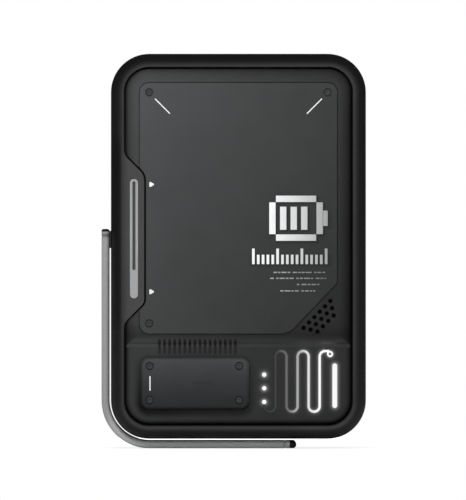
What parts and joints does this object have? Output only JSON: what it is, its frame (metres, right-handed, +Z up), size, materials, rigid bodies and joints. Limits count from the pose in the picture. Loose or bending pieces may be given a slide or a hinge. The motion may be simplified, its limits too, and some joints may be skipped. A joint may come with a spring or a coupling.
{
  "type": "portable power station",
  "caption": "Upright portable power station with rounded black case, lit light-pipe display, side slide control, rear fan and a swing-out tubular bail stand.",
  "frame": {"origin": "centre of the bounding box at the level the part stands on, under the bail's lower runs", "axes": "+Z up, -Y is the front with the display, +X to the right seen from the front"},
  "size_m": [0.2064, 0.14, 0.3078],
  "materials": {
    "bezel_black": "fine satin moulded texture",
    "shell_black": "fine satin moulded texture",
    "fascia_grey": "soft-touch satin",
    "cover_grey": "soft-touch satin",
    "silver_inlay": "light silver satin",
    "white_inlay": "white satin",
    "trim_grey": "light grey satin",
    "light_bar": "frosted diffuser, lit",
    "light_dot": "frosted diffuser, lit",
    "light_serpentine": "frosted diffuser, lit brighter to the right",
    "tube_steel": "satin brushed",
    "plain_steel": "plain",
    "port_steel": "stamped",
    "black_rubber": "matt",
    "hinge_black": "satin",
    "screw_black": "black zinc",
    "cell_foil": "foil pouch",
    "inner_plastic": "black",
    "lead_red": "silicone jacket",
    "board_green": "solder mask",
    "capacitor_sleeve": "sleeve",
    "socket_black": "satin",
    "busbar_nickel": "nickel strip",
    "chassis_alu": "mill",
    "heat_sink_alu": "extruded",
    "ferrite": "ferrite core with taped winding",
    "port_plate_black": "satin",
    "button_grey": "soft-touch",
    "mesh_black": "dust screen"
  },
  "bodies": {
    "case": {"ac_outlets": "socket_black", "badge_blocks": "silver_inlay", "battery_cells": "cell_foil", "battery_cover": "cover_grey", "battery_leads": "lead_red", "battery_tray": "inner_plastic", "bms_board": "board_green", "button_switches": "inner_plastic", "capacitors": "capacitor_sleeve", "car_socket": "socket_black", "case_bolts": "plain_steel", "cell_busbars": "busbar_nickel", "chassis_plate": "chassis_alu", "cover_screws": "screw_black", "dc_jacks": "socket_black", "fan_frame": "inner_plastic", "flap_pin": "plain_steel", "front_bezel": "bezel_black", "front_fascia": "fascia_grey", "hatch_gasket": "black_rubber", "hatch_screws": "screw_black", "heat_sink": "heat_sink_alu", "hinge_block": "hinge_black", "hinge_screws": "plain_steel", "input_jack": "socket_black", "inverter_board": "board_green", "led_board": "board_green", "light_pipe_bar": "light_bar", "light_pipe_dots": "light_dot", "light_pipe_serpentine": "light_serpentine", "main_shell": "shell_black", "marker_inlays": "white_inlay", "port_board": "board_green", "port_plate": "port_plate_black", "port_screws": "screw_black", "rear_bezel": "bezel_black", "rear_feet": "black_rubber", "rear_panel": "fascia_grey", "rear_screws": "screw_black", "service_fuse": "inner_plastic", "service_hatch": "cover_grey", "shell_gaskets": "black_rubber", "slide_potentiometer": "port_steel", "slide_trim": "trim_grey", "transformer": "ferrite", "usb_a_ports": "port_steel", "usb_c_ports": "port_steel", "vent_mesh": "mesh_black"},
    "bail": {"bail_tube_front": "tube_steel", "bail_tube_rear": "tube_steel", "bail_core": "plain_steel", "bail_grip": "black_rubber", "bail_end_plugs": "black_rubber", "hinge_pin": "plain_steel"},
    "slide_thumb": {"slide_thumb": "trim_grey"},
    "fan_rotor": {"fan_rotor": "inner_plastic"},
    "power_button": {"power_button": "button_grey"},
    "ac_button": {"ac_button": "button_grey"},
    "dc_button": {"dc_button": "button_grey"},
    "socket_flap": {"socket_flap": "black_rubber"}
  },
  "joints": [
    {"name": "bail_swing", "type": "hinge", "parent": "case", "child": "bail", "pos_m": [-0.10025, 0, 0.1672], "axis": [0, 1, 0], "range_deg": [0, 180]},
    {"name": "thumb_slide", "type": "slide", "parent": "case", "child": "slide_thumb", "axis": [0, 0, 1], "range_m": [0, 0.069]},
    {"name": "fan_spin", "type": "hinge", "parent": "case", "child": "fan_rotor", "pos_m": [0.02165, 0.055, 0.214], "axis": [0, 1, 0], "continuous": true},
    {"name": "socket_flap_hinge", "type": "hinge", "parent": "case", "child": "socket_flap", "pos_m": [0.1016, -0.0156, 0.063], "axis": [0, 0, -1], "range_deg": [0, 110]},
    {"name": "power_press", "type": "slide", "parent": "case", "child": "power_button", "axis": [-1, 0, 0], "range_m": [0, 0.0012], "stiffness_N_per_m": 600, "springref_m": -0.0008},
    {"name": "ac_press", "type": "slide", "parent": "case", "child": "ac_button", "axis": [-1, 0, 0], "range_m": [0, 0.0012], "stiffness_N_per_m": 600, "springref_m": -0.0008},
    {"name": "dc_press", "type": "slide", "parent": "case", "child": "dc_button", "axis": [-1, 0, 0], "range_m": [0, 0.0012], "stiffness_N_per_m": 600, "springref_m": -0.0008}
  ]
}
